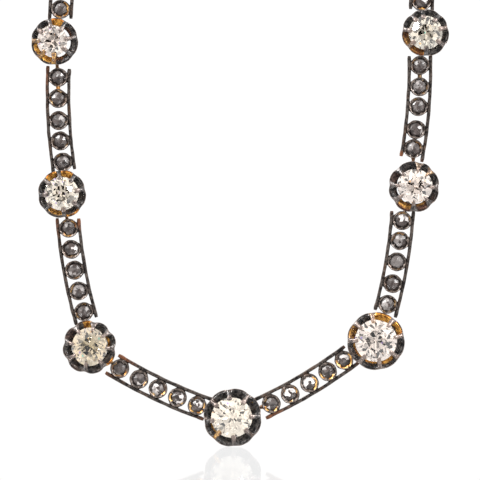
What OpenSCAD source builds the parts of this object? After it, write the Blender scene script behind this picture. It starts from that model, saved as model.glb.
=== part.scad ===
/* [Diamond collets] */
// Share of the outer radius that the base ring of a collet takes
base_share = 0.48; // [0.45:0.01:0.52]
// Share of the outer radius at which the girdle lies above the link plane
girdle_share = 0.49; // [0.46:0.01:0.54]
// Share of the outer radius at which the openings under the scoops end
window_share = 0.68; // [0.64:0.01:0.7]
// Angle that an opening under a scoop takes
window_angle = 31; // [24:1:33]
// Number of claws, with one scoop between each two
claws = 8; // [8:1:8]
// Depth of a collet behind the link plane
collet_back = 0.65; // [0.6:0.01:0.8]
// How far a claw reaches in over the girdle
claw_reach = 0.34; // [0.25:0.01:0.4]
// Clearance between a diamond and its seat
stone_gap = 0.06; // [0.05:0.01:0.1]

/* [Bars] */
// Number of small diamonds in a bar
roses = 5; // [5:1:5]
// Distance between the small diamonds along a bar
rose_pitch = 3.32; // [3.2:0.01:3.4]
// Radius of the gentle bow of a bar
bow_r = 80; // [60:1:200]
// Width of a bar across both rails
bar_w = 3.9; // [3.8:0.02:4.1]
// Thickness of a rail across the bar
rail_t = 0.48; // [0.4:0.01:0.5]
// Depth of a rail from front to back
rail_h = 1.3; // [1:0.05:1.5]
// How far the outer rail runs on past the last small diamond
outer_run = 1.7; // [1.5:0.05:1.8]
// How far the inner rail runs on past the last small diamond
inner_run = 1.4; // [1.2:0.05:1.6]

/* [Small diamonds] */
// Outer radius of a small collet
rose_collet_r = 1.4; // [1.36:0.01:1.42]
// Girdle radius of a small diamond
rose_r = 1.03; // [0.98:0.01:1.05]
// Height of a small diamond above its flat back
rose_h = 0.9; // [0.7:0.05:1]

/* [Links] */
// Radius of an eye, to the middle of its wire
eye_r = 0.5; // [0.48:0.01:0.52]
// Radius of the wire of an eye
wire_r = 0.15; // [0.13:0.01:0.16]
// Clearance between two eyes that hang in each other
link_gap = 0.06; // [0.05:0.01:0.08]

/* [Clasp] */
// Length of the clasp's box along the chain
clasp_l = 8.4; // [8:0.1:9]
// Width of the clasp's box
clasp_w = 3.6; // [3.4:0.1:4]
// Depth of the clasp's box from front to back
clasp_h = 2.4; // [2.2:0.1:2.6]

/* [Chain] */
// Length of bar and links between the rims of two neighbours
bar_reach = 16.25; // [16.2:0.05:16.6]

/* [Hidden] */
$fn = 64;

// Columns of the seven collets in front, from upper left down and up to
// upper right: place from the lowest collet's centre, outer diameter,
// diamond diameter, turn of the claws, and the diamond's shift in its collet
PLACE_X = 0;
PLACE_Y = 1;
OUTER_D = 2;
STONE_D = 3;
CLAW_TURN = 4;
SHIFT_X = 5;
SHIFT_Y = 6;
front = [
    [-27.70, 58.70, 7.35, 4.85, 6, -0.34, 0.08],
    [-26.55, 34.90, 7.50, 5.40, 6, -0.05, 0.05],
    [-22.25, 11.00, 8.35, 5.90, -9, 0.05, 0.05],
    [0.10, 0.00, 9.05, 6.50, 6, -0.15, 0.00],
    [22.45, 11.95, 9.00, 6.60, 8, 0.00, 0.05],
    [28.40, 36.00, 7.95, 5.50, -3, 0.15, 0.12],
    [30.20, 60.05, 7.35, 5.30, 6, 0.00, 0.00],
];

// Columns of the collets behind the neck, from the front ones up: outer
// diameter, diamond diameter, turn of the claws, and how far the hop up to
// each leans in from upright on the left and on the right
BACK_D = 0;
BACK_STONE = 1;
BACK_TURN = 2;
LEAN_LEFT = 3;
LEAN_RIGHT = 4;
back = [
    [7.30, 4.80, 5, 8, 4],
    [7.00, 4.70, 7, 3, 3],
    [6.90, 4.60, -8, 1, 3],
    [6.80, 4.50, 4, 9, 9],
];

// Columns of the bars: shift along the line between its neighbours, how far
// its middle stands out from that line, and its turn from that line
ALONG = 0;
OUTWARD = 1;
TURN = 2;
front_bars = [
    [0.29, -0.01, 0.3],
    [-0.07, 0.22, 0.1],
    [0.03, 1.18, 0.7],
    [0.27, 0.96, 2.8],
    [0.25, 0.27, 4.2],
    [0.44, -0.19, -0.3],
];

back_n = len(back);
front_n = len(front);
first_front = back_n + 1;
last_front = back_n + front_n;
last_collet = 2 * back_n + front_n;
bars = last_collet + 1;
half_field = bars / 2;

function names(stem, n) = [for (i = [1:n]) str(stem, i)];

// Row of the table of collets behind the neck for collet i on either side
function back_row(i) = back[i < first_front ? first_front - 1 - i : i - last_front - 1];
function is_front(i) = i >= first_front && i <= last_front;
function outer_r(i) = (is_front(i) ? front[i - first_front][OUTER_D] : back_row(i)[BACK_D]) / 2;
function stone_r(i) = (is_front(i) ? front[i - first_front][STONE_D] : back_row(i)[BACK_STONE]) / 2;
function claw_turn(i) = is_front(i) ? front[i - first_front][CLAW_TURN] : back_row(i)[BACK_TURN];
function stone_shift(i) = is_front(i)
    ? [front[i - first_front][SHIFT_X], front[i - first_front][SHIFT_Y]] : [0, 0];

// Centre of collet i in the face plane, counted from the clasp down the left
// side and up the right. Those behind the neck follow hop by hop.
function hop(i, j, lean) = (outer_r(i) + bar_reach + outer_r(j)) * [sin(lean), cos(lean)];
function collet_at(i) =
    is_front(i) ? [front[i - first_front][PLACE_X], front[i - first_front][PLACE_Y]]
    : i < first_front ? collet_at(i + 1) + hop(i, i + 1, back_row(i)[LEAN_LEFT])
    : collet_at(i - 1) + hop(i, i - 1, -back_row(i)[LEAN_RIGHT]);

// Middle of the clasp, where bars of equal length from both sides meet it
clasp_eye_room = 2.2;
last_hop = outer_r(1) + bar_reach + clasp_eye_room + clasp_l / 2;
top_left = collet_at(1);
top_right = collet_at(last_collet);
top_mid = (top_left + top_right) / 2;
top_half = norm(top_right - top_left) / 2;
clasp_rise = sqrt(last_hop * last_hop - top_half * top_half);
clasp_at = [top_mid.x, top_mid.y + clasp_rise];
hang_at = clasp_at - [0, clasp_w / 2];

// Point from which an eye on the item at the start or end of bar k reaches out
function is_clasp(i) = i == 0 || i > last_collet;
function item_at(i, side) = is_clasp(i) ? clasp_at + [side * clasp_l / 2, 0] : collet_at(i);
function base_r(i) = is_clasp(i) ? 0.02 : base_share * outer_r(i);
function rim_r(i) = is_clasp(i) ? clasp_eye_room : outer_r(i);
function bar_start(k) = item_at(k - 1, -1);
function bar_end(k) = item_at(k, 1);

// Frame of bar k: its middle diamond, its direction, and its left normal,
// which points into the loop
function unit(v) = v / norm(v);
function left_of(v) = [-v.y, v.x];
function angle_of(v) = atan2(v.y, v.x);
function is_front_bar(k) = k > first_front && k <= last_front;
function bar_row(k) = is_front_bar(k) ? front_bars[k - first_front - 1]
    : [(rim_r(k - 1) - rim_r(k)) / 2, 0.1, 0];
function bar_line(k) = unit(bar_end(k) - bar_start(k));
function bar_turn(k) = angle_of(bar_line(k)) + bar_row(k)[TURN];
function bar_mid(k) = (bar_start(k) + bar_end(k)) / 2 + bar_row(k)[ALONG] * bar_line(k)
    - bar_row(k)[OUTWARD] * left_of(bar_line(k));

// Centre and turn of small diamond j of bar k, along the bow
function rose_step(j) = (j - (roses - 1) / 2) * rose_pitch / bow_r * 180 / PI;
function in_bar(p) = [bow_r * sin(p), bow_r * (1 - cos(p))];
function turned(v, a) = [v.x * cos(a) - v.y * sin(a), v.x * sin(a) + v.y * cos(a)];
function rose_at(k, j) = bar_mid(k) + turned(in_bar(rose_step(j)), bar_turn(k));

// Distance from an item's centre to its own eye and to the bar's eye in it
function own_eye(i) = base_r(i) + eye_r;
function bar_eye(i) = own_eye(i) + 2 * eye_r - 2 * wire_r - link_gap;

// Heights over the link plane, towards the viewer
function girdle_z(i) = girdle_share * outer_r(i);
rose_base_z = 0.47;
rose_rim_z = 1.02;

module standing() {
    rotate([90, 0, 0]) translate([-hang_at.x, -hang_at.y, 0]) children();
}

// Wire ring: lying in the face plane, or standing with its hole across way
module eye(lying) {
    rotate([lying ? 0 : 90, 0, 0]) rotate_extrude() translate([eye_r, 0]) circle(r = wire_r);
}

// Cup wall of a collet, turned about its axis
module cup(r, stone, girdle) {
    base = base_share * r;
    rotate_extrude() polygon([
        [base - 0.4, -collet_back],
        [base, -collet_back],
        [base + 0.05, 0.2],
        [r + 0.1, girdle - 0.25],
        [r + 0.1, girdle - 0.1],
        [stone - claw_reach + 0.3, girdle + 0.62],
        [stone - claw_reach, girdle + 0.6],
        [stone - claw_reach, girdle - 0.8],
        [base - 0.4, 0.3],
    ]);
}

// Plan of a collet: one round lobe for each scoop
module lobes(r) {
    bulge = 0.58;
    circle(r = 0.9 * r);
    for (i = [0:claws - 1])
        rotate((i + 0.5) * 360 / claws) translate([(1 - bulge) * r, 0]) circle(r = bulge * r);
}

// Hollow between two claws, a cone that widens outwards and dips the rim
module scoop(r, girdle) {
    low = [base_share * r + 0.25, 0.6];
    high = [r, girdle - 0.16];
    slope = atan2(high.y - low.y, high.x - low.x);
    run = norm(high - low);
    narrow = 0.15 * r;
    wide = 0.3 * r;
    past = 1.6;
    lift = slope + atan2(wide - narrow, run);
    translate([low.x, 0, low.y]) rotate([0, 90 - lift, 0]) translate([-narrow, 0, 0])
        cylinder(r1 = narrow, r2 = narrow + past * (wide - narrow), h = past * run);
}

// Opening in the gallery under a scoop, between two struts
module window(r, girdle) {
    near = base_share * r + 0.12;
    far = window_share * r;
    rotate(-window_angle / 2) rotate_extrude(angle = window_angle)
        translate([near, -0.2]) square([far - near, girdle]);
}

// Room for the diamond, with its clearance
module seat(stone, girdle) {
    g = stone_gap;
    rotate_extrude() polygon([
        [0, girdle - 0.8 * stone - 2 * g],
        [stone + g, girdle - g],
        [stone + g, girdle + 0.1 + g],
        [0.5 * stone, girdle + 0.1 + 0.33 * stone + g],
        [0, girdle + 0.1 + 0.33 * stone + g],
    ]);
}

module collet(i) {
    r = outer_r(i);
    stone = stone_r(i);
    girdle = girdle_z(i);
    color("dimgray") standing() {
        translate(collet_at(i)) rotate(claw_turn(i)) difference() {
            intersection() {
                cup(r, stone, girdle);
                translate([0, 0, -1]) linear_extrude(r + 1) lobes(r);
            }
            for (n = [0:claws - 1]) rotate((n + 0.5) * 360 / claws) {
                scoop(r, girdle);
                window(r, girdle);
            }
            translate(turned(stone_shift(i), -claw_turn(i))) seat(stone, girdle);
        }
        own_eye_to(i, rose_at(i, roses - 1));
        own_eye_to(i, rose_at(i + 1, 0));
    }
}

// Standing eye soldered on an item's foot, towards a bar's last diamond
module own_eye_to(i, target) {
    from = collet_at(i);
    translate(from) rotate(angle_of(target - from)) translate([own_eye(i), 0, 0]) eye(false);
}

// Points of a level ring of a cut stone, counted the left way round from above
function ring(count, r, z) = [for (a = [0:count - 1]) let (t = a * 360 / count) [r * cos(t), r * sin(t), z]];

// Old European cut: a small table, stars, kites and girdle facets over
// halved and main facets that run down to a cut-off point
module brilliant(stone) {
    n = 8;
    edge = 0.1;
    crown = 0.33 * stone;
    depth = 0.8 * stone;
    table_r = 0.5 * stone;
    kite_r = 0.76 * stone;
    low_r = 0.45 * stone;
    culet_r = 0.09 * stone;
    middle = cos(180 / n);
    kite_z = edge + crown * (stone - kite_r * middle) / (stone - table_r);
    low_z = -depth * (stone - low_r * middle) / (stone - culet_r * middle);
    points = concat(
        ring(n, table_r, edge + crown),
        ring(2 * n, kite_r, kite_z),
        ring(2 * n, stone, edge),
        ring(2 * n, stone, 0),
        ring(n, low_r, low_z),
        ring(n, culet_r, -depth));
    function table(a) = a % n;
    function kite(a) = n + (2 * a + 1) % (2 * n);
    function top(a) = 3 * n + a % (2 * n);
    function under(a) = 5 * n + a % (2 * n);
    function low(a) = 7 * n + a % n;
    function culet(a) = 8 * n + a % n;
    around = [0:n - 1];
    faces = concat(
        [[for (a = [n - 1:-1:0]) table(a)]],
        [for (a = around) [table(a), table(a + 1), kite(a)]],
        [for (a = around) [table(a), kite(a), top(2 * a), kite(a + n - 1)]],
        [for (a = around) [kite(a), top(2 * a + 1), top(2 * a)]],
        [for (a = around) [kite(a), top(2 * a + 2), top(2 * a + 1)]],
        [for (a = [0:2 * n - 1]) [top(a), top(a + 1), under(a + 1), under(a)]],
        [for (a = around) [low(a), under(2 * a), under(2 * a + 1)]],
        [for (a = around) [low(a), under(2 * a + 2 * n - 1), under(2 * a)]],
        [for (a = around) [under(2 * a + 1), low(a + 1), culet(a + 1), culet(a), low(a)]],
        [[for (a = around) culet(a)]]);
    polyhedron(points, faces);
}

module diamond(i) {
    color("whitesmoke") standing()
        translate(collet_at(i) + stone_shift(i)) translate([0, 0, girdle_z(i)])
            rotate(claw_turn(i)) brilliant(stone_r(i));
}

// Small collet of a bar, a short tube with a floor, its edge rubbed over
module rose_collet() {
    lip = rose_r - 0.06;
    bore = rose_r + stone_gap;
    hollow = 0.95;
    rotate_extrude() polygon([
        [0, 0.05],
        [hollow, 0.05],
        [hollow, -0.6],
        [rose_collet_r, -0.6],
        [rose_collet_r, rose_rim_z - 0.2],
        [rose_collet_r - 0.18, rose_rim_z],
        [lip, rose_rim_z],
        [lip, rose_rim_z - 0.16],
        [bore, rose_rim_z - 0.26],
        [bore, rose_base_z - stone_gap],
        [0, rose_base_z - stone_gap],
    ]);
}

// One rail, a strip of the bow, with the runs past the last diamonds
module rail(side, run) {
    half = ((roses - 1) / 2 * rose_pitch + run) / bow_r * 180 / PI;
    near = bow_r + (side > 0 ? bar_w / 2 - rail_t : -bar_w / 2);
    translate([0, bow_r, 0]) rotate(-90 - half) rotate_extrude(angle = 2 * half)
        translate([near, -rail_h / 2 + 0.1]) square([rail_t, rail_h]);
}

// Eye of a bar hooked in the eye of the item at that end, with its neck
module bar_eye_from(i, from, target) {
    reach = norm(target - from);
    far = bar_eye(i) + eye_r;
    neck = max(reach - rose_collet_r - far, 0) + 0.2;
    translate(from) rotate(angle_of(target - from)) {
        translate([bar_eye(i), 0, 0]) eye(true);
        translate([far - 0.05, 0, 0]) rotate([0, 90, 0]) cylinder(r = wire_r + 0.05, h = neck);
    }
}

module bar(k) {
    lug_w = 1.3;
    lug_from = rose_collet_r - 0.25;
    lug_to = bar_w / 2 - rail_t + 0.08;
    color("dimgray") standing() {
        translate(bar_mid(k)) rotate(bar_turn(k)) {
            rail(1, outer_run);
            rail(-1, inner_run);
            for (j = [0:roses - 1]) translate(in_bar(rose_step(j))) rotate(rose_step(j)) {
                rose_collet();
                for (side = [0, 180]) rotate(side)
                    translate([-lug_w / 2, lug_from, -0.4]) cube([lug_w, lug_to - lug_from, 0.95]);
            }
        }
        bar_eye_from(k - 1, bar_start(k), rose_at(k, 0));
        bar_eye_from(k, bar_end(k), rose_at(k, roses - 1));
    }
}

// Rose cut: a flat back, a ring of facets and six more up to a small flat
module rose_cut() {
    n = 6;
    points = concat(
        ring(n, 0.16 * rose_r, rose_h),
        ring(n, 0.64 * rose_r, 0.72 * rose_h),
        ring(2 * n, rose_r, 0.12 * rose_h),
        ring(2 * n, rose_r, 0));
    function flat(a) = a % n;
    function mid(a) = n + a % n;
    function edge(a) = 2 * n + a % (2 * n);
    function foot(a) = 4 * n + a % (2 * n);
    around = [0:n - 1];
    faces = concat(
        [[for (a = [n - 1:-1:0]) flat(a)]],
        [for (a = around) [flat(a), flat(a + 1), mid(a + 1), mid(a)]],
        [for (a = around) [mid(a), mid(a + 1), edge(2 * a + 1)]],
        [for (a = around) [mid(a), edge(2 * a + 1), edge(2 * a)]],
        [for (a = around) [mid(a), edge(2 * a), edge(2 * a + 2 * n - 1)]],
        [for (a = [0:2 * n - 1]) [edge(a), edge(a + 1), foot(a + 1), foot(a)]],
        [[for (a = [0:2 * n - 1]) foot(a)]]);
    polyhedron(points, faces);
}

module small_diamonds(first, last) {
    color("gray") standing()
        for (k = [first:last], j = [0:roses - 1])
            translate(rose_at(k, j)) translate([0, 0, rose_base_z])
                rotate(37 * k + 71 * j) rose_cut();
}

// Plain bevelled box that stands for the clasp, with an eye at each end
module clasp() {
    x = clasp_h / 2;
    y = clasp_w / 2;
    cut = 0.5;
    outline = [[x, y - cut], [x - cut, y], [cut - x, y], [-x, y - cut],
        [-x, cut - y], [cut - x, -y], [x - cut, -y], [x, cut - y]];
    color("dimgray") standing() {
        translate(clasp_at) rotate([0, 90, 0]) linear_extrude(clasp_l, center = true) polygon(outline);
        clasp_eye(-1, rose_at(1, 0));
        clasp_eye(1, rose_at(bars, roses - 1));
    }
}

module clasp_eye(side, target) {
    from = clasp_at + [side * clasp_l / 2, 0];
    translate(from) rotate(angle_of(target - from)) translate([own_eye(0), 0, 0]) eye(false);
}

for (i = [1:last_collet]) collet(i);
for (i = [1:last_collet]) diamond(i);
for (k = [1:bars]) bar(k);
clasp();
small_diamonds(1, half_field);  // small_diamonds_left
small_diamonds(half_field + 1, bars);  // small_diamonds_right
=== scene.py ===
import math
from collections import namedtuple

import bmesh
import bpy
from mathutils import Matrix, Vector, noise


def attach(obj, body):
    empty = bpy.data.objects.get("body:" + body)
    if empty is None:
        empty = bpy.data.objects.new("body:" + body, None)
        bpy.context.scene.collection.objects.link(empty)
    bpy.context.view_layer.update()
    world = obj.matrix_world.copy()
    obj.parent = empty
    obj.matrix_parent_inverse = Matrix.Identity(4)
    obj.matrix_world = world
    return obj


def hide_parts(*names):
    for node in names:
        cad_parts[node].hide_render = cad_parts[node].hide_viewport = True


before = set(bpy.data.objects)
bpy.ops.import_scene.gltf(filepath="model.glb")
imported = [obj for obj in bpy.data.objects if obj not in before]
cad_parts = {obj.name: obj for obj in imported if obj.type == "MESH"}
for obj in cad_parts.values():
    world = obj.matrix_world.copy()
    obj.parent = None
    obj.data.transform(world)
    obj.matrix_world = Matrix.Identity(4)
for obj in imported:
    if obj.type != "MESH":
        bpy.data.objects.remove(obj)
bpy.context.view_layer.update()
MM = 0.001

# Camera. It looks level and square at the hanging necklace from 0.6 m with a
# long lens, so the lowest collet hangs at the foot of the view and the
# strands leave it at the top.
CAMERA_BACK = 600.0
STONES_FORWARD = 1.0
SENSOR = 36.0
PIXELS_PER_MM = 6.4
VIEW_PIXELS = 480
VIEW_MM = VIEW_PIXELS / PIXELS_PER_MM
# A point by the middle of the lowest collet, and how far across and down the
# view it is seen, in pixels
HANG_X = -1.664
HANG_Z = -165.985
HANG_ACROSS = 232
HANG_DOWN = 417.3


def add_object(name, data):
    """Adds a mesh, a lamp or the camera to the scene under a name"""
    thing = bpy.data.objects.new(name, data)
    bpy.context.scene.collection.objects.link(thing)
    return thing


view_x = HANG_X + (VIEW_PIXELS / 2 - HANG_ACROSS) / PIXELS_PER_MM
view_z = HANG_Z + (HANG_DOWN - VIEW_PIXELS / 2) / PIXELS_PER_MM
camera_data = bpy.data.cameras.new("camera")
camera_data.sensor_width = SENSOR
camera_data.lens = SENSOR * (CAMERA_BACK - STONES_FORWARD) / VIEW_MM
camera = add_object("camera", camera_data)
camera.location = (view_x * MM, -CAMERA_BACK * MM, view_z * MM)
camera.rotation_euler = (math.radians(90), 0, 0)
bpy.context.scene.camera = camera
bpy.context.scene.view_settings.view_transform = "Standard"

# Floor. A sheet of glossy white board just under the lowest collet, which
# shows a faint mirror image of it. Its front part, out of the picture, lies
# in half shade, and the stones catch that.
FLOOR_Z = -170.50
FLOOR_HALF = 1500.0
FLOOR_GLOSS = 0.2
FLOOR_ROUGHNESS = 0.03
SEEN_WHITE = 1.06
LIT_Y = -100
LIT = 1.05
DARK_Y = -260
DARK = 0.45


def empty_tree(owner):
    """Clears the nodes of a material or of the world, to build them anew"""
    owner.use_nodes = True
    owner.node_tree.nodes.clear()
    return owner.node_tree


def feed(tree, socket, value):
    """Links another node's output to a socket, or gives it a number or colour"""
    if isinstance(value, bpy.types.NodeSocket):
        tree.links.new(value, socket)
    else:
        socket.default_value = (*value, 1) if socket.type == "RGBA" else value


def ramp(tree, value, low, high, to_low=0.0, to_high=1.0, smooth=True):
    """Turns a value between low and high into one between two others"""
    n = tree.nodes.new("ShaderNodeMapRange")
    if smooth:
        n.interpolation_type = "SMOOTHSTEP"
    n.inputs["From Min"].default_value = low
    n.inputs["From Max"].default_value = high
    n.inputs["To Min"].default_value = to_low
    n.inputs["To Max"].default_value = to_high
    tree.links.new(value, n.inputs["Value"])
    return n.outputs["Result"]


def mix(tree, share, a, b, kind="FLOAT"):
    """Goes from a to b by a share, as numbers or, with kind RGBA, as colours"""
    n = tree.nodes.new("ShaderNodeMix")
    n.data_type = kind
    first, result = (2, 0) if kind == "FLOAT" else (6, 2)
    for socket, value in ((0, share), (first, a), (first + 1, b)):
        feed(tree, n.inputs[socket], value)
    return n.outputs[result]


board_mesh = bmesh.new()
bmesh.ops.create_grid(board_mesh, x_segments=1, y_segments=1, size=FLOOR_HALF * MM)
bmesh.ops.translate(board_mesh, verts=board_mesh.verts, vec=(0, 0, FLOOR_Z * MM))
floor_data = bpy.data.meshes.new("floor")
board_mesh.to_mesh(floor_data)
board_mesh.free()
floor = add_object("floor", floor_data)
white_board = bpy.data.materials.new("white_board")
tree = empty_tree(white_board)
out = tree.nodes.new("ShaderNodeOutputMaterial")
coat = tree.nodes.new("ShaderNodeMixShader")
glow = tree.nodes.new("ShaderNodeEmission")
gloss = tree.nodes.new("ShaderNodeBsdfGlossy")
coat.inputs["Fac"].default_value = FLOOR_GLOSS
glow.inputs["Color"].default_value = (1, 1, 1, 1)
gloss.inputs["Roughness"].default_value = FLOOR_ROUGHNESS
spot = tree.nodes.new("ShaderNodeNewGeometry")
axes = tree.nodes.new("ShaderNodeSeparateXYZ")
tree.links.new(spot.outputs["Position"], axes.inputs[0])
light = ramp(tree, axes.outputs["Y"], DARK_Y * MM, LIT_Y * MM, DARK, LIT, smooth=False)
ray = tree.nodes.new("ShaderNodeLightPath")
light = mix(tree, ray.outputs["Is Camera Ray"], light, SEEN_WHITE)
tree.links.new(light, glow.inputs["Strength"])
tree.links.new(glow.outputs[0], coat.inputs[1])
tree.links.new(gloss.outputs[0], coat.inputs[2])
tree.links.new(coat.outputs[0], out.inputs["Surface"])
floor_data.materials.append(white_board)

# Light. A white tent all round with two soft lamps. It is dark where the
# camera looks in, and what the stones catch of it inside is patchy like
# cloth, which draws their dark facets.
TENT_LOW = 0.03
TENT_HIGH = 1.58
TENT_PLAIN = 1.1
TENT_TINT = (1, 0.97, 0.94)
SHADE_TINT = (1, 0.84, 0.70)
PATCHES_ROUND = 22.0
PATCH_DARK = 0.40
PATCH_LIT = 0.46
HOLE_LIGHT = 0.01
# The camera's hole in the tent, and the bright cloth opposite: where each
# fades out and where it is full, as cosines
HOLE_EDGE = math.cos(math.radians(20))
HOLE_MIDDLE = math.cos(math.radians(14))
BACK_EDGE = -math.cos(math.radians(14))
BACK_MIDDLE = -math.cos(math.radians(8))
Lamp = namedtuple("Lamp", "name x y z size power")
LAMPS = [
    Lamp("lamp_left", -0.45, -0.35, 0.30, 0.1, 6.0),
    Lamp("lamp_right", 0.40, -0.40, 0.15, 0.1, 4.0),
]
LAMP_AIM = Vector((0, 0, -0.14))


def cloud(tree, where, scale, detail, rough=0.5):
    """Cloudy pattern, finer as its scale grows"""
    n = tree.nodes.new("ShaderNodeTexNoise")
    n.inputs["Scale"].default_value = scale
    n.inputs["Detail"].default_value = detail
    n.inputs["Roughness"].default_value = rough
    tree.links.new(where, n.inputs["Vector"])
    return n.outputs["Fac"]


def maths(tree, operation, *values, clamp=False):
    n = tree.nodes.new("ShaderNodeMath")
    n.operation = operation
    n.use_clamp = clamp
    for socket, value in zip(n.inputs, values):
        feed(tree, socket, value)
    return n.outputs[0]


world = bpy.data.worlds.new("tent")
bpy.context.scene.world = world
tree = empty_tree(world)
out = tree.nodes.new("ShaderNodeOutputWorld")
sky = tree.nodes.new("ShaderNodeTexCoord").outputs["Generated"]
toward = tree.nodes.new("ShaderNodeVectorMath")
toward.operation = "DOT_PRODUCT"
toward.inputs[1].default_value = (0, -1, 0)
tree.links.new(sky, toward.inputs[0])
hole = ramp(tree, toward.outputs["Value"], HOLE_EDGE, HOLE_MIDDLE, 1.0, HOLE_LIGHT)
patchy = ramp(tree, cloud(tree, sky, PATCHES_ROUND, 1.0), PATCH_DARK, PATCH_LIT, TENT_LOW, TENT_HIGH)
back = ramp(tree, toward.outputs["Value"], BACK_EDGE, BACK_MIDDLE, 0.0, TENT_HIGH)
patchy = maths(tree, "MAXIMUM", patchy, back)
ray = tree.nodes.new("ShaderNodeLightPath")
in_stone = maths(tree, "GREATER_THAN", ray.outputs["Transmission Depth"], 0.5)
cloth = mix(tree, in_stone, TENT_PLAIN, patchy)
tent = tree.nodes.new("ShaderNodeBackground")
tree.links.new(mix(tree, cloth, SHADE_TINT, TENT_TINT, "RGBA"), tent.inputs["Color"])
tree.links.new(maths(tree, "MULTIPLY", hole, cloth), tent.inputs["Strength"])
white = tree.nodes.new("ShaderNodeBackground")
white.inputs["Color"].default_value = (1, 1, 1, 1)
white.inputs["Strength"].default_value = SEEN_WHITE
choose = tree.nodes.new("ShaderNodeMixShader")
tree.links.new(ray.outputs["Is Camera Ray"], choose.inputs["Fac"])
tree.links.new(tent.outputs[0], choose.inputs[1])
tree.links.new(white.outputs[0], choose.inputs[2])
tree.links.new(choose.outputs[0], out.inputs["Surface"])
for lamp in LAMPS:
    data = bpy.data.lights.new(lamp.name, "AREA")
    data.energy = lamp.power
    data.size = lamp.size
    holder = add_object(lamp.name, data)
    holder.location = (lamp.x, lamp.y, lamp.z)
    holder.visible_transmission = False
    aim = LAMP_AIM - holder.location
    holder.rotation_euler = aim.to_track_quat("-Z", "Y").to_euler()

# Collets. Each diamond sits in an open crown of silver on gold, blackened
# with age: a foot ring, eight struts, a fluted rim and eight claws pressed
# over the stone. The rim and claws are rubbed pale and some gilding is left.
Collet = namedtuple("Collet", "x z outer stone shift_x shift_z notch wedge worn claws")
COLLETS = {
    1: Collet(-20.839, -14.560, 3.400, 2.250, 0, 0, 0.03, 0, 0.4, 4),
    2: Collet(-24.453, -37.375, 3.450, 2.300, 0, 0, 0.03, 0, 0.4, -8),
    3: Collet(-24.858, -60.572, 3.500, 2.350, 0, 0, 0.03, 0, 0.4, 7),
    4: Collet(-26.083, -83.940, 3.650, 2.400, 0, 0, 0.03, 0, 0.4, 5),
    5: Collet(-29.364, -107.285, 3.675, 2.425, -0.34, 0.08, 0.03, -0.5, 0.05,
              [104, 60, 11, -38, -92, -134, 179, 144]),
    6: Collet(-28.214, -131.085, 3.750, 2.700, -0.05, 0.05, 0.04, -0.5, 0.03,
              [98, 55, 12, -36, -84, -138, -177, 141]),
    7: Collet(-23.914, -154.985, 4.175, 2.950, 0.05, 0.05, 0.07, 0.8, 0.33,
              [79, 38, -3, -53, -101, -150, 169, 125]),
    8: Collet(-1.564, -165.985, 4.525, 3.250, -0.15, 0, 0.035, -0.8, 0.05,
              [99, 55, 3, -43, -87, -132, -172, 143]),
    9: Collet(20.786, -154.035, 4.500, 3.300, 0, 0.05, 0.025, 0, 0.5,
              [98, 51, 11, -37, -81, -127, 179, 139]),
    10: Collet(26.736, -129.985, 3.975, 2.750, 0.15, 0.12, 0.05, 1, 0.18,
              [77, 43, -2, -46, -91, -144, 176, 132]),
    11: Collet(28.536, -105.935, 3.675, 2.650, 0, 0, 0.04, -0.5, 0.2,
              [98, 52, 14, -35, -88, -141, 172, 128]),
    12: Collet(26.892, -82.418, 3.650, 2.400, 0, 0, 0.03, 0, 0.4, 5),
    13: Collet(25.667, -59.050, 3.500, 2.350, 0, 0, 0.03, 0, 0.4, 7),
    14: Collet(24.453, -35.882, 3.450, 2.300, 0, 0, 0.03, 0, 0.4, -8),
    15: Collet(20.839, -13.066, 3.400, 2.250, 0, 0, 0.03, 0, 0.4, 4),
}
# What is left of the gilding, and copper-red stains, from one angle to another
Patch = namedtuple("Patch", "collet mark low high amount part")
PATCHES = [
    Patch(1, "gilt", 139, 184, 0.6, "edge"), Patch(2, "gilt", 82, 127, 0.8, "wall"),
    Patch(4, "gilt", 230, 275, 0.7, "wall"), Patch(5, "gilt", 60, 104, 1.0, "wall"),
    Patch(5, "gilt", 183, 224, 0.85, "scoop"), Patch(5, "gilt", 228, 266, 0.95, "scoop"),
    Patch(5, "copper", 11, 60, 0.7, "foot"), Patch(5, "gilt", 268, 322, 0.35, "foot"),
    Patch(5, "copper", 268, 300, 0.7, "half"), Patch(5, "copper", 179, 226, 0.4, "half"),
    Patch(6, "gilt", 98, 141, 0.9, "wall"), Patch(6, "gilt", 55, 98, 0.9, "wall"),
    Patch(6, "gilt", 222, 276, 0.55, "scoop"), Patch(6, "copper", 222, 276, 0.5, "half"),
    Patch(6, "gilt", 276, 324, 0.6, "edge"), Patch(7, "gilt", 79, 108, 0.9, "wall"),
    Patch(7, "copper", 125, 169, 0.35, "wall"), Patch(7, "gilt", 307, 340, 0.8, "edge"),
    Patch(7, "gilt", 357, 398, 0.7, "foot"), Patch(8, "gilt", 188, 228, 0.8, "foot"),
    Patch(9, "gilt", 51, 98, 0.9, "wall"), Patch(9, "gilt", 11, 51, 0.9, "upper"),
    Patch(9, "gilt", 139, 179, 0.5, "wall"), Patch(9, "gilt", 181, 233, 0.8, "foot"),
    Patch(9, "gilt", 233, 279, 0.8, "foot"), Patch(9, "gilt", 279, 323, 0.75, "half"),
    Patch(10, "gilt", 216, 269, 0.45, "scoop"), Patch(10, "copper", 216, 269, 0.8, "wall"),
    Patch(10, "copper", 269, 314, 0.5, "wall"), Patch(10, "gilt", 269, 314, 0.45, "foot"),
    Patch(10, "copper", 132, 176, 0.35, "wall"), Patch(11, "gilt", 172, 219, 0.35, "wall"),
    Patch(11, "copper", 172, 219, 0.5, "wall"), Patch(11, "gilt", 219, 272, 0.40, "wall"),
    Patch(11, "copper", 219, 272, 0.9, "wall"), Patch(12, "gilt", 185, 230, 0.6, "wall"),
    Patch(13, "copper", 52, 97, 0.5, "wall"), Patch(14, "gilt", 262, 307, 0.7, "foot"),
]
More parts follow.
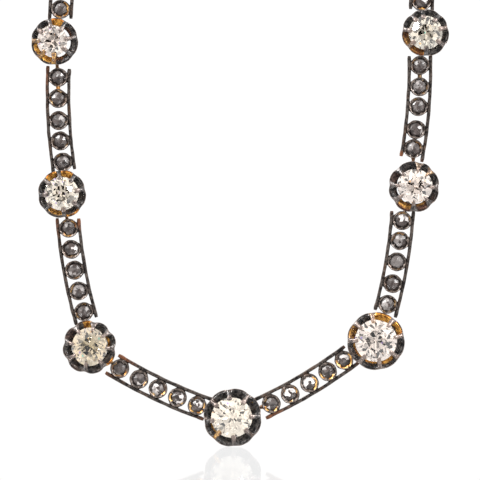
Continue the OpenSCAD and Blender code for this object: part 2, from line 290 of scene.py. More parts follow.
# Rings of the rim's section that a patch covers, counted from under the rim
PARTS = {
    "edge": range(7, 11), "upper": range(9, 13), "wall": range(8, 16),
    "scoop": range(11, 16), "half": range(12, 16), "foot": range(13, 16),
}
PATCH_FADE = 6.0
# Gilding of single claws: collet and claw, how much
GILT_CLAWS = {
    (5, -134): 0.4, (5, -92): 0.45, (5, 179): 0.3, (6, -84): 0.15, (8, -132): 0.4,
    (9, 98): 0.25, (10, 77): 0.22, (10, 43): 0.28, (11, -141): 0.2,
}
# Shares of a collet's outer radius: its foot, the height at which the stone's
# girdle lies, and the inner edge of the rim
BASE_SHARE = 0.48
GIRDLE_SHARE = 0.49
WINDOW_SHARE = 0.68
COLLET_BACK = 0.65
FOOT_STEP = 0.05
WALL_LOW = 0.2
WALL_UNDER_GIRDLE = 0.25
# The rim's lobes: how far they swell, dip and rise, and how near a claw
LOBE_SHARE = 1.008
UNEVEN = 0.012
NOTCH_ANGLE = 9.0
CLAW_ANGLE = 7.0
SCALLOP = 0.16
CLAW_RISE = 0.30
CLAW_LEAN = 0.05
# How much of the black is rubbed off each ring of the rim
RIM_RUB = {4: 0.2, 5: 0.45, 6: 0.62, 7: 0.55, 8: 0.15}
FOOT_RUB = 0.15
STRUT_RUB = 0.1
CLAW_SIDE_RUB = 0.25
CLAW_TIP_RUB = 0.5
CLAW_TIP = 0.3
EYE_RUB = 0.3
# Wire eyes of the links
EYE_R = 0.50
WIRE_R = 0.15
LINK_GAP = 0.06
MARKS = ("gilt", "copper", "rubbed")
# Points this near are one, and edges that turn by more degrees stay crisp
SEAM = 1e-5
SHARP_EDGE = 35
# Direction in which each bar's eye leaves a collet, filled in with the bars
bar_eye_at = {}


def girdle_of(c):
    return GIRDLE_SHARE * c.outer


def claw_angles(c):
    if isinstance(c.claws, list):
        return c.claws
    return [c.claws + 45 * n for n in range(8)]


def to_claw(c, a):
    """Angle between a and the nearest claw"""
    return min(abs((a - b + 180) % 360 - 180) for b in claw_angles(c))


def new_bench():
    """An empty mesh with the marks that the metal's finish is read from"""
    bm = bmesh.new()
    for mark in MARKS:
        bm.verts.layers.float.new(mark)
    bm.verts.layers.int.new("spoke")
    return bm


def stand(bm, x, z, turn=0.0):
    """Stands flat work up: its face looks at the viewer, its middle goes to x, z"""
    where = Matrix.Translation((x, 0, z)) @ Matrix.Rotation(math.radians(90), 4, "X")
    where = where @ Matrix.Rotation(math.radians(turn), 4, "Z")
    bmesh.ops.transform(bm, matrix=where, verts=bm.verts)


def solder(bm, bit):
    """Adds one finished bit to the work and clears it from the bench"""
    data = bpy.data.meshes.new("bit")
    bit.to_mesh(data)
    bit.free()
    bm.from_mesh(data)
    bpy.data.meshes.remove(data)


def paint(bm, gilt=0.0, copper=0.0, rubbed=0.0):
    for mark, value in zip(MARKS, (gilt, copper, rubbed)):
        layer = bm.verts.layers.float[mark]
        for v in bm.verts:
            v[layer] = value(v.co) if callable(value) else value


def turned_ring(profile, steps):
    """Spins a closed profile of radius, height pairs"""
    bm = new_bench()
    spoke = bm.verts.layers.int["spoke"]
    row = []
    for n, (radius, height) in enumerate(profile):
        v = bm.verts.new((radius, 0, height))
        v[spoke] = n
        row.append(v)
    edges = [bm.edges.new((row[n - 1], row[n])) for n in range(len(row))]
    bmesh.ops.spin(bm, geom=row + edges, cent=(0, 0, 0), axis=(0, 0, 1),
                   angle=math.tau, steps=steps, use_merge=True)
    return bm


def wire(stations, sides=12, square=1.0):
    """Draws a solid bar through stations of middle, half width and half height"""
    bm = new_bench()
    spoke = bm.verts.layers.int["spoke"]
    start = bmesh.ops.create_circle(bm, cap_ends=True, segments=sides, radius=1)["verts"]
    for n, v in enumerate(start):
        v[spoke] = n
    drawn = bmesh.ops.spin(bm, geom=bm.edges[:], cent=(0, 0, 0), axis=(0, 0, 1), dvec=(0, 0, 1),
                           angle=0, steps=len(stations) - 1)
    last = [g for g in drawn["geom_last"] if isinstance(g, bmesh.types.BMEdge)]
    bmesh.ops.contextual_create(bm, geom=last)
    for v in bm.verts:
        middle, across, up = stations[round(v.co.z)]
        a = math.tau * (v[spoke] + 0.5) / sides
        c = math.copysign(abs(math.cos(a)) ** square, math.cos(a))
        s = math.copysign(abs(math.sin(a)) ** square, math.sin(a))
        v.co = Vector(middle) + c * Vector(across) + s * Vector(up)
    return bm


def eye(lying, at):
    """Ring of wire, lying in the face or standing across it, at that distance"""
    section = [(EYE_R + WIRE_R * math.cos(a), WIRE_R * math.sin(a))
               for a in (math.tau * n / 12 for n in range(12))]
    bm = turned_ring(section, 28)
    if not lying:
        upright = Matrix.Rotation(math.radians(90), 3, "X")
        bmesh.ops.rotate(bm, verts=bm.verts, cent=(0, 0, 0), matrix=upright)
    bmesh.ops.translate(bm, verts=bm.verts, vec=(at, 0, 0))
    return bm


def place_piece(bm, name, material, replaced):
    """Makes finished work a piece of the necklace, in place of its solid"""
    bmesh.ops.recalc_face_normals(bm, faces=bm.faces)
    bmesh.ops.transform(bm, matrix=Matrix.Scale(MM, 4), verts=bm.verts)
    data = bpy.data.meshes.new(name)
    bm.to_mesh(data)
    bm.free()
    data.materials.append(material)
    piece = add_object(name, data)
    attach(piece, "root")
    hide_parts(replaced)
    return data


def place_metal(bm, name, material, replaced):
    """Closes the seams of metalwork, places it and smooths all but its edges"""
    bmesh.ops.remove_doubles(bm, verts=bm.verts, dist=SEAM)
    bm.verts.layers.int.remove(bm.verts.layers.int["spoke"])
    data = place_piece(bm, name, material, replaced)
    data.shade_smooth()
    data.set_sharp_from_angle(angle=math.radians(SHARP_EDGE))


def mark(tree, name):
    """Reads a mark that the mesh carries"""
    n = tree.nodes.new("ShaderNodeAttribute")
    n.attribute_name = name
    return n.outputs["Fac"]


def metal(name, dark, middle, brown, pale, copper, gilt_low, gilt_high):
    """Blackened silver with rubbed edges and patches of old gilding"""
    made = bpy.data.materials.new(name)
    made.use_nodes = True
    tree = made.node_tree
    shader = tree.nodes["Principled BSDF"]
    where = tree.nodes.new("ShaderNodeTexCoord").outputs["Object"]

    def pits(scale, detail):
        return cloud(tree, where, scale, detail, rough=0.6)

    def blend(share, a, b):
        return mix(tree, share, a, b, "RGBA")

    def times(a, b):
        return maths(tree, "MULTIPLY", a, b, clamp=True)

    # Tarnish in dark and middling spots, browner in larger blotches
    coarse = pits(1900, 4)
    fine = pits(3600, 3)
    tarnish = blend(ramp(tree, coarse, 0.42, 0.62), dark, middle)
    tarnish = blend(ramp(tree, pits(560, 3), 0.52, 0.68, 0.0, 0.7), tarnish, brown)
    # Pale silver where it is rubbed, broken up by the grain
    grain = times(ramp(tree, fine, 0.35, 0.65), 0.5)
    rubbed = maths(tree, "ADD", mark(tree, "rubbed"), grain, clamp=True)
    silver = blend(ramp(tree, rubbed, 0.3, 1.15), tarnish, pale)
    # Copper-red stains and old gilding, both with ragged edges
    stained = times(mark(tree, "copper"), ramp(tree, coarse, 0.35, 0.65, 0.6, 1.3))
    silver = blend(ramp(tree, stained, 0.1, 0.8), silver, copper)
    gold = blend(ramp(tree, pits(1700, 3), 0.40, 0.58), gilt_low, gilt_high)
    gilded = times(mark(tree, "gilt"), ramp(tree, fine, 0.35, 0.65, 0.75, 1.2))
    colour = blend(ramp(tree, gilded, 0.08, 0.85), silver, gold)
    tree.links.new(colour, shader.inputs["Base Color"])
    tree.links.new(ramp(tree, gilded, 0.1, 0.9, 0.62, 0.72), shader.inputs["Metallic"])
    tree.links.new(ramp(tree, fine, 0.3, 0.7, 0.26, 0.46), shader.inputs["Roughness"])
    bump = tree.nodes.new("ShaderNodeBump")
    bump.inputs["Strength"].default_value = 0.35
    bump.inputs["Distance"].default_value = 0.05 * MM
    tree.links.new(pits(7000, 3), bump.inputs["Height"])
    tree.links.new(bump.outputs["Normal"], shader.inputs["Normal"])
    return made


collet_metal = metal(
    "blackened_collet_silver",
    dark=(0.022, 0.022, 0.024), middle=(0.135, 0.127, 0.123), brown=(0.085, 0.058, 0.045),
    pale=(0.225, 0.178, 0.157), copper=(0.13, 0.052, 0.030),
    gilt_low=(0.26, 0.095, 0.018), gilt_high=(0.92, 0.50, 0.11))


def wall_height(c, radius):
    """Height of the wall, which climbs from the foot ring to under the rim"""
    foot = BASE_SHARE * c.outer + FOOT_STEP
    rise = girdle_of(c) - WALL_UNDER_GIRDLE - WALL_LOW
    return WALL_LOW + (radius - foot) * rise / (c.outer - foot)


def outline(c, a):
    """Share of the outer radius at angle a: a round lobe between two claws"""
    dip = math.exp(-((to_claw(c, a) / NOTCH_ANGLE) ** 2))
    around = Vector((1.7 * math.cos(math.radians(a)), 1.7 * math.sin(math.radians(a)), c.x))
    return LOBE_SHARE - c.notch * dip + UNEVEN * noise.noise(around)


def make_foot(c):
    """Foot ring that the links are soldered to"""
    base = BASE_SHARE * c.outer
    foot = turned_ring([
        (base - 0.36, -COLLET_BACK), (base - 0.06, -COLLET_BACK), (base, -COLLET_BACK + 0.06),
        (base + 0.05, 0.2), (base + 0.05, 0.34), (base - 0.04, 0.42), (base - 0.3, 0.36),
        (base - 0.4, 0.26), (base - 0.4, -COLLET_BACK + 0.05)], 72)
    paint(foot, rubbed=FOOT_RUB)
    return foot


def make_rim(number, c):
    """Fluted rim, lower between the claws, with its patches of gilding"""
    r = c.outer
    girdle = girdle_of(c)
    inner = WINDOW_SHARE * r

    def wall(share, above=0.0):
        return share * r, wall_height(c, share * r) + above

    rim = turned_ring([
        wall(WINDOW_SHARE), wall(0.80), wall(0.90),
        (r - 0.08, girdle - 0.33), (r - 0.02, girdle - 0.24), (r, girdle - 0.14),
        (r - 0.03, girdle - 0.08), (r - 0.08, girdle - 0.08), (r - 0.11, girdle - 0.13),
        (r - 0.15, girdle - 0.26), wall(0.93, 0.20), wall(0.88, 0.18),
        wall(0.82, 0.19), wall(0.75, 0.22), wall(WINDOW_SHARE, 0.24),
        (inner - 0.04, wall_height(c, inner) + 0.12)], 160)
    spoke = rim.verts.layers.int["spoke"]
    rubbed = rim.verts.layers.float["rubbed"]
    for v in rim.verts:
        a = math.degrees(math.atan2(v.co.y, v.co.x))
        by_claw = math.exp(-((to_claw(c, a) / CLAW_ANGLE) ** 2))
        level = v[spoke]
        share = outline(c, a)
        if 8 <= level <= 13:
            share *= 1 - CLAW_LEAN * by_claw
            v.co.z += CLAW_RISE * by_claw
        if 4 <= level <= 9:
            v.co.z -= SCALLOP * (1 - by_claw)
        v.co.x *= share
        v.co.y *= share
        v[rubbed] = RIM_RUB.get(level, 0.0)
        for patch in PATCHES:
            into = (a - patch.low) % 360
            width = patch.high - patch.low
            if patch.collet == number and level in PARTS[patch.part] and into < width:
                layer = rim.verts.layers.float[patch.mark]
                fade = min(1, min(into, width - into) / PATCH_FADE)
                v[layer] = max(v[layer], patch.amount * fade)
    return rim


def add_claw(bm, number, c, a):
    """Strut from the foot to the rim at angle a, and the claw that ends it"""
    r = c.outer
    base = BASE_SHARE * r
    girdle = girdle_of(c)
    high = Vector((0, 0, 1))
    out_dir = Vector((math.cos(math.radians(a)), math.sin(math.radians(a)), 0))
    side = Vector((-out_dir.y, out_dir.x, 0))

    def at(radius, height, half_w, half_h, tilt=0.0):
        up = (high * math.cos(tilt) - out_dir * math.sin(tilt)) * half_h
        return out_dir * radius + high * height, side * half_w, up

    strut = wire([
        at(base - 0.12, 0.18, 0.34, 0.16),
        at(base + 0.25, wall_height(c, base + 0.25) + 0.12, 0.30, 0.16),
        at(0.62 * r, wall_height(c, 0.62 * r) + 0.14, 0.27, 0.15),
        at(0.72 * r, wall_height(c, 0.72 * r) + 0.20, 0.30, 0.2),
        at(0.82 * r, wall_height(c, 0.82 * r) + 0.30, 0.34, 0.26)], 10, 0.8)
    paint(strut, rubbed=STRUT_RUB)
    solder(bm, strut)
    # The claw runs from the rim's edge to its grip on the stone
    grip = c.stone + Vector((c.shift_x, c.shift_z, 0)).dot(out_dir)
    edge = r * (1 - c.notch) - 0.03
    span = edge - grip
    wide = 1 + 0.35 * c.wedge
    claw = wire([
        at(edge + 0.03, girdle - 0.30, 0.46 * wide, 0.12),
        at(edge + 0.02, girdle - 0.22, 0.50 * wide, 0.2),
        at(edge - 0.1, girdle - 0.16, 0.46 * wide, 0.26),
        at(edge - 0.12 - 0.2 * span, girdle - 0.16, 0.41 * wide, 0.36),
        at(edge - 0.12 - 0.5 * span, girdle - 0.08, 0.36, 0.42),
        at(grip + 0.14, girdle + 0.12, 0.33, 0.42),
        at(grip - 0.02, girdle + 0.38, 0.33 - 0.08 * c.wedge, 0.22, 0.25),
        at(grip - 0.20, girdle + 0.48, 0.34 - 0.12 * c.wedge, 0.18, 0.4),
        at(grip - 0.38, girdle + 0.54, 0.31 - 0.13 * c.wedge, 0.15, 0.5),
        at(grip - 0.50, girdle + 0.57, 0.20 - 0.07 * c.wedge, 0.10, 0.5)], 14, 0.75)
    worn = c.worn + 0.5 * noise.noise(Vector((a, c.x, 3.0)))

    def wear(p):
        if p.xy.length < grip + CLAW_TIP:
            return min(1.0, worn + CLAW_TIP_RUB)
        return worn if p.z > girdle - 0.1 else CLAW_SIDE_RUB

    paint(claw, gilt=GILT_CLAWS.get((number, a), 0.0), rubbed=wear)
    solder(bm, claw)


def make_collet(number, c):
    bm = new_bench()
    solder(bm, make_foot(c))
    solder(bm, make_rim(number, c))
    for a in claw_angles(c):
        add_claw(bm, number, c, a)
    stand(bm, c.x, c.z)
    # Standing eyes on the foot, one for each bar
    for k in (number, number + 1):
        ring = eye(False, BASE_SHARE * c.outer + EYE_R)
        paint(ring, rubbed=EYE_RUB)
        stand(ring, c.x, c.z, bar_eye_at[k, number])
        solder(bm, ring)
    place_metal(bm, f"collet_{number}_crown", collet_metal, f"collet_{number}")


# Bars. Between two collets runs a bar of five small collets held by two
# thin rails of blackened silver on gold, bowed with the line of the necklace.
# Solder fillets join them, and a wire eye at each end hooks into a collet.
Bar = namedtuple("Bar", "x z turn")
BARS = {
    1: Bar(-12.162, -5.888, -135.485), 2: Bar(-22.741, -25.927, -99.000), 3: Bar(-24.755, -48.947, -91.000),
    4: Bar(-25.566, -72.176, -93.000), 5: Bar(-27.820, -95.586, -98.000), 6: Bar(-28.765, -119.475, -86.934),
    7: Bar(-26.293, -143.005, -79.701), 8: Bar(-13.233, -161.557, -25.505), 9: Bar(10.302, -160.730, 30.932),
    10: Bar(24.084, -141.833, 80.304), 11: Bar(27.480, -117.507, 85.420), 12: Bar(27.813, -94.157, 94.000),
    13: Bar(26.375, -70.654, 93.000), 14: Bar(25.159, -47.436, 93.000), 15: Bar(22.741, -24.433, 99.000),
    16: Bar(12.139, -5.159, 138.222),
}
ROSES = 5
ROSE_PITCH = 3.32
BOW_R = 80.0
BAR_W = 3.9
RAIL_T = 0.48
RAIL_H = 1.3
RAIL_STEPS = 44
OUTER_RUN = 1.7
INNER_RUN = 1.4
# Rails that run on a little further: bar, side (1 is inside the loop), end
LONGER = {(8, 1, 1): 0.9, (9, 1, 0): 0.9}
# Small collets: radius of the work and of its solid, and of the lip's opening,
# which is narrower on the two lowest bars
CUP_R = 1.48
CUP_SOLID_R = 1.4
LIP_R = 1.13
NARROW_LIP_R = 1.03
NARROW_BARS = (8, 9)
# How much of the black is rubbed off each ring of a small collet
CUP_RUB = {9: 0.2, 10: 0.4, 11: 0.35, 12: 0.15}
LIP_FADE = 12.0
CLASP_X = 0.0
CLASP_Z = 1.8
CLASP_L = 8.4
CLASP_STEP = 0.02


def rose_turn(j):
    return (j - (ROSES - 1) / 2) * ROSE_PITCH / BOW_R


def on_bow(p, inward=0.0):
    radius = BOW_R - inward
    return Vector((radius * math.sin(p), BOW_R - radius * math.cos(p), 0))


# Small collets that sit off their even spacing: bar, collet, distance along
SLIPS = {(6, 2): 0.12, (8, 0): -0.12, (9, 2): 0.16, (9, 3): 0.20, (10, 2): 0.14, (10, 3): 0.14,
         (11, 0): 0.12, (11, 1): -0.2, (11, 2): 0.08, (11, 3): -0.12, (11, 4): -0.1, (12, 0): -0.2}


def rose_at(k, j):
    return rose_turn(j) + SLIPS.get((k, j), 0.0) / BOW_R


def rose_place(k, j):
    b = BARS[k]
    p = Matrix.Rotation(math.radians(b.turn), 3, "Z") @ on_bow(rose_at(k, j))
    return b.x + p.x, b.z + p.y


def item_place(i, side):
    if i == 0 or i == 16:
        return CLASP_X + side * CLASP_L / 2, CLASP_Z
    return COLLETS[i].x, COLLETS[i].z


def heading(a, b):
    return math.degrees(math.atan2(b[1] - a[1], b[0] - a[0]))


for k in BARS:
    bar_eye_at[k, k - 1] = heading(item_place(k - 1, -1), rose_place(k, 0))
    bar_eye_at[k, k] = heading(item_place(k, 1), rose_place(k, ROSES - 1))

for number, c in COLLETS.items():
    make_collet(number, c)

bar_metal = metal(
    "blackened_bar_silver",
    dark=(0.012, 0.010, 0.010), middle=(0.084, 0.070, 0.062), brown=(0.085, 0.048, 0.030),
    pale=(0.20, 0.155, 0.13), copper=(0.20, 0.078, 0.038),
    gilt_low=(0.42, 0.17, 0.04), gilt_high=(0.86, 0.52, 0.17))
# Gilding inside the small collets that the photo shows: bar, collet of the
# bar, from and to angle as seen, amount
LIP_GILT = [
    (8, 0, 300, 345, 0.9), (8, 0, 120, 200, 0.35), (8, 1, 300, 350, 0.6), (8, 2, 295, 350, 0.65),
    (8, 3, 140, 215, 0.95), (8, 4, 150, 245, 0.8), (8, 4, 265, 325, 0.9), (8, 4, 330, 385, 0.6),
    (9, 0, 195, 255, 0.8), (9, 0, 285, 340, 0.7), (9, 1, 0, 70, 0.55), (9, 1, 260, 300, 0.5),
    (9, 2, 300, 430, 0.9), (9, 3, 190, 255, 0.75), (9, 3, 275, 345, 0.85), (9, 4, 175, 425, 1.0),
    (7, 0, 0, 80, 0.6), (7, 0, 215, 300, 0.55), (7, 1, 240, 300, 0.3), (7, 2, 260, 320, 0.35),
    (6, 0, 80, 110, 0.3), (6, 3, 150, 200, 0.2), (10, 3, 50, 120, 0.5), (10, 4, 60, 130, 0.45),
    (10, 0, 330, 400, 0.4), (11, 0, 20, 80, 0.5), (11, 3, 330, 380, 0.35), (5, 4, 290, 430, 0.9),
    (5, 4, 230, 280, 0.9), (12, 0, 240, 300, 0.9), (12, 0, 150, 200, 0.5),
]
# Copper-brown rail ends: bar, side (1 is inside the loop), end, reach, amount
RAIL_COPPER = [
    (8, 1, 0, 4.5, 0.75), (8, -1, 0, 2.5, 0.55), (8, -1, 1, 2.5, 0.4), (9, -1, 0, 6.0, 0.55),
    (9, -1, 1, 1.5, 0.5), (9, 1, 1, 1.0, 0.3), (7, 1, 0, 3.0, 0.6), (7, -1, 0, 6.0, 0.4),
    (11, 1, 0, 1.2, 0.9), (11, -1, 0, 0.8, 0.4), (6, -1, 0, 9.0, 0.45), (10, 1, 1, 1.5, 0.3),
]
# Pairs of small collets that a blob of solder joins: bar, first one, gilding
TOUCHING = [(6, 0, 0.75), (11, 0, 0.0), (11, 3, 0.3)]
# Gilding of the links: bar, collet
GILT_LINKS = {(5, 5): 0.95, (6, 5): 0.35, (7, 6): 0.4, (8, 7): 0.4, (11, 10): 0.3}


def make_rail(k, side, run):
    """Bowed rail of uneven thickness, coppery along its edges"""
    half = ((ROSES - 1) / 2 * ROSE_PITCH + run) / BOW_R
    starts = half + LONGER.get((k, side, 0), 0.0) / BOW_R
    ends = half + LONGER.get((k, side, 1), 0.0) / BOW_R
    inward = side * (BAR_W / 2 - RAIL_T / 2 - 0.03)
    stations = []
    for n in range(RAIL_STEPS + 1):
        p = -starts + (starts + ends) * n / RAIL_STEPS
        wobble = noise.noise(Vector((n * 0.31, k * 3.1, side * 5.0)))
        bend = 0.05 * noise.noise(Vector((n * 0.17, k * 1.7, side * 9.0)))
        end = min(n, RAIL_STEPS - n)
        thick = (RAIL_T / 2 + 0.03) * (1 + 0.16 * wobble + (0.12 if 0 < end < 3 else 0))
        tall = RAIL_H / 2
        if end == 0:
            thick *= 0.88
            tall *= 0.93
        across = Vector((-math.sin(p), math.cos(p), 0)) * thick
        middle = on_bow(p, inward + bend) + Vector((0, 0, 0.1 + 0.04 * wobble))
        stations.append((middle, across, Vector((0, 0, tall))))
    rail = wire(stations, 12, 0.45)
    spoke = rail.verts.layers.int["spoke"]
    copper = rail.verts.layers.float["copper"]
    rubbed = rail.verts.layers.float["rubbed"]
    for v in rail.verts:
        along = (math.atan2(v.co.x, BOW_R - v.co.y) + starts) * BOW_R
        edge = (0.5 if side < 0 else 0.3) + 0.5 * noise.noise(Vector((along * 0.9, k * 2.0, side * 3.0)))
        on_edge = v[spoke] in (0, 11, 5, 6)
        v[copper] = max(0.0, edge) if on_edge else 0.0
        for which, way, end, reach, much in RAIL_COPPER:
            if which == k and way == side:
                gone = along if end == 0 else (starts + ends) * BOW_R - along
                v[copper] = max(v[copper], 1.3 * much * max(0.0, 1 - gone / reach))
        v[rubbed] = 0.1
    return rail


def make_cup(k, j, p):
    """Small collet: a turned cup whose lip is pressed over the stone in lobes"""
    seed = k * 7.3 + j * 2.1
    lip = NARROW_LIP_R if k in NARROW_BARS else LIP_R
    step = (CUP_R - lip) / 5
    cup = turned_ring([
        (0.0001, 0.10), (0.90, 0.10), (0.95, 0.0), (0.95, -0.56), (1.0, -0.6), (CUP_R - 0.1, -0.6),
        (CUP_R - 0.02, -0.54), (CUP_R, 0.60), (CUP_R, 0.80), (CUP_R - 0.04, 0.93),
        (CUP_R - step, 0.98), (CUP_R - 2 * step, 0.96), (CUP_R - 3.6 * step, 0.86), (lip, 0.74),
        (lip + 0.03, 0.66), (1.2, 0.42), (1.0, 0.38), (0.0001, 0.38)], 64)
    spoke = cup.verts.layers.int["spoke"]
    gilt = cup.verts.layers.float["gilt"]
    rubbed = cup.verts.layers.float["rubbed"]
    lobes = 5 + int(3 * abs(noise.noise(Vector((seed, 1, 2)))) * 2)
    for v in cup.verts:
        a = math.atan2(v.co.y, v.co.x)
        around = Vector((math.cos(a), math.sin(a), seed))
        level = v[spoke]
        swell = 1
        if 7 <= level <= 9:
            swell += 0.045 * noise.noise(around * 1.8 + Vector((3, 1, 4)))
        if 10 <= level <= 14:
            grain = 0.09 * noise.noise(around * 1.6)
            scallop = 0.035 * math.cos(lobes * a + seed)
            swell += (grain + scallop) * (1.0 if level >= 12 else 0.4)
        if 12 <= level <= 14:
            press = 0.11 + 0.09 * noise.noise(around * 2.4 + Vector((1, 6, 2)))
            swell -= press * max(0.0, -math.cos(lobes * a + seed)) ** 3
        v.co.x *= swell
        v.co.y *= swell
        v[rubbed] = CUP_RUB.get(level, 0.0)
        if level >= 12:
            seen = math.degrees(a + p) + BARS[k].turn
            for which, number, low, high, much in LIP_GILT:
                into = (seen - low) % 360
                if which == k and number == j and into < high - low:
                    v[gilt] = max(v[gilt], much * min(1, min(into, high - low - into) / LIP_FADE))
            stray = noise.noise(around * 0.9 + Vector((7, 2, k)))
            v[gilt] = max(v[gilt], min(0.4, 2.0 * (stray - 0.22)), 0.0)
    return cup


def make_fillet(side):
    """Solder between a small collet and the rail on one side of it"""
    fillet = wire([
        (Vector((0, side * y, 0.08)), Vector((w, 0, 0)), Vector((0, 0, 0.52)))
        for y, w in ((1.1, 1.0), (1.34, 0.8), (1.46, 0.74), (1.54, 0.9), (1.62, 1.05))], 10, 0.7)
    paint(fillet, rubbed=0.05)
    return fillet


def make_lug(k, first, gold):
    """Blob of solder that joins two small collets"""
    ends = [on_bow(rose_at(k, j)) for j in (first, first + 1)]
    across = (ends[1] - ends[0]).cross(Vector((0, 0, 1))).normalized()
    lug = wire([
        (ends[0].lerp(ends[1], t) + Vector((0, 0, 0.35)), across * w, Vector((0, 0, 0.4)))
        for t, w in ((0.38, 0.5), (0.45, 0.34), (0.55, 0.34), (0.62, 0.5))], 12)
    paint(lug, gilt=gold, rubbed=0.2)
    return lug


def add_link(bm, k, i, j):
    """Lying eye at one end of bar k, in collet i's eye, and its neck to cup j"""
    start = item_place(i, -1 if i == k - 1 else 1)
    base = CLASP_STEP if i in (0, 16) else BASE_SHARE * COLLETS[i].outer
    middle = base + 3 * EYE_R - 2 * WIRE_R - LINK_GAP
    far = middle + EYE_R
    near_rose = math.dist(start, rose_place(k, j)) - CUP_SOLID_R + 0.25
    halfway = 0.5 * (far + near_rose)
    neck = wire([
        (Vector((x, 0.04 * math.sin(9 * x), 0)), Vector((0, 0.26 * w, 0)), Vector((0, 0, 0.26 * w)))
        for x, w in ((far - 0.08, 0.7), (far + 0.1, 1.1), (halfway, 1.0), (near_rose, 1.8))], 10)
    for bit in (eye(True, middle), neck):
        paint(bit, gilt=GILT_LINKS.get((k, i), 0.2), copper=0.4, rubbed=EYE_RUB)
        stand(bit, start[0], start[1], bar_eye_at[k, i])
        solder(bm, bit)


def make_bar(k, b):
    bm = new_bench()
    solder(bm, make_rail(k, -1, OUTER_RUN))
    solder(bm, make_rail(k, 1, INNER_RUN))
    for j in range(ROSES):
        p = rose_at(k, j)
        seat = Matrix.Translation(on_bow(p)) @ Matrix.Rotation(p, 4, "Z")
        for bit in (make_cup(k, j, p), make_fillet(-1), make_fillet(1)):
            bmesh.ops.transform(bit, matrix=seat, verts=bit.verts)
            solder(bm, bit)
    for which, first, gold in TOUCHING:
        if which == k:
            solder(bm, make_lug(k, first, gold))
    stand(bm, b.x, b.z, b.turn)
    add_link(bm, k, k - 1, 0)
    add_link(bm, k, k, ROSES - 1)
    place_metal(bm, f"bar_{k}_work", bar_metal, f"bar_{k}")


for k, b in BARS.items():
    make_bar(k, b)

# Diamonds. Old-cut stones, cut by hand with a small table, a high crown and
# a cut-off point, no two facets quite alike. Each lies in its collet under
# the claws, warm white, cream, yellowish or greyish.
Tint = namedtuple("Tint", "name heart rim stones")
TINTS = [
    Tint("diamond_white", (1.0, 0.85, 0.76), (1.0, 0.91, 0.84), (3, 5, 9, 10, 12, 15)),
    Tint("diamond_cream", (1.0, 0.87, 0.72), (1.0, 0.93, 0.80), (2, 6, 8, 14)),
    Tint("diamond_yellow", (0.46, 0.36, 0.15), (1.0, 0.86, 0.73), (7, 13)),
    Tint("diamond_grey", (0.80, 0.72, 0.58), (0.92, 0.85, 0.75), (1, 4, 11)),
]
# Stones that aren't quite round: width and height as a share
OVALS = {7: (0.94, 1.02), 8: (0.99, 0.965), 6: (1.0, 0.975), 10: (1.0, 0.97), 5: (0.98, 1.01)}
# Stones on which the wheel slipped another way: where its slips are read
SLIPPED = {6: 17.5, 7: 1.5, 8: 17.5, 10: 11.5, 11: 11.5}
USUAL_SLIP = 3.5
EDGE_T = 0.1
CROWN = 0.33
PAVILION = 0.8
TABLE_SHARE = 0.5
KITE_SHARE = 0.76
LOW_SHARE = 0.45
CULET_SHARE = 0.09
WHEEL_SLIP = 3.2
BLANK_SHARE = 0.995
HALF_STEP = 22.5
# Painted fire: sparks of coloured light, violet, teal and orange, painted into the stone's colour in small
# and rare spots
PAINTED_FIRE = ((0.0, (0.30, 0.16, 0.95)), (0.4, (0.15, 0.85, 0.70)), (0.6, (1.0, 0.42, 0.12)))
PAINTED_FIRE_SCALE = 1300
PAINTED_FIRE_SIZE = 0.26
PAINTED_FIRE_RARE = 0.9


def diamond_facets(stone):
    """Three corners of each facet but the table and the cut-off point"""
    middle = math.cos(math.radians(HALF_STEP))
    kite_z = EDGE_T + CROWN * stone * (1 - KITE_SHARE * middle) / (1 - TABLE_SHARE)
    low_z = -PAVILION * stone * (1 - LOW_SHARE * middle) / (1 - CULET_SHARE * middle)

    def corner(share, height, steps):
        a = math.radians(HALF_STEP * steps)
        return Vector((share * stone * math.cos(a), share * stone * math.sin(a), height))

    top_z = EDGE_T + CROWN * stone
    facets = []
    for n in range(0, 16, 2):
        kite = corner(KITE_SHARE, kite_z, n + 1)
        table = corner(TABLE_SHARE, top_z, n)
        low = corner(LOW_SHARE, low_z, n)
        facets += [
            (table, corner(TABLE_SHARE, top_z, n + 2), kite),
            (table, kite, corner(1, EDGE_T, n)),
            (kite, corner(1, EDGE_T, n + 1), corner(1, EDGE_T, n)),
            (kite, corner(1, EDGE_T, n + 2), corner(1, EDGE_T, n + 1)),
            (low, corner(1, 0, n), corner(1, 0, n + 1)),
            (low, corner(1, 0, n - 1), corner(1, 0, n)),
            (corner(1, 0, n + 1), corner(LOW_SHARE, low_z, n + 2), low),
        ]
    return facets


def drift(p):
    """Smooth, repeatable push for the point p"""
    return Vector([noise.noise(p + Vector((9.7 * n, 4.3 * n, 2.9 * n))) for n in range(3)])


def grind(bm, point, normal):
    """Cuts one facet: takes away what lies beyond the plane and closes it"""
    work = bm.verts[:] + bm.edges[:] + bm.faces[:]
    gone = bmesh.ops.bisect_plane(bm, geom=work, dist=1e-5, plane_co=point, plane_no=normal,
                                  clear_outer=True)
    rim = [g for g in gone["geom_cut"] if isinstance(g, bmesh.types.BMEdge)]
    if len(rim) > 2:
        bmesh.ops.holes_fill(bm, edges=rim)


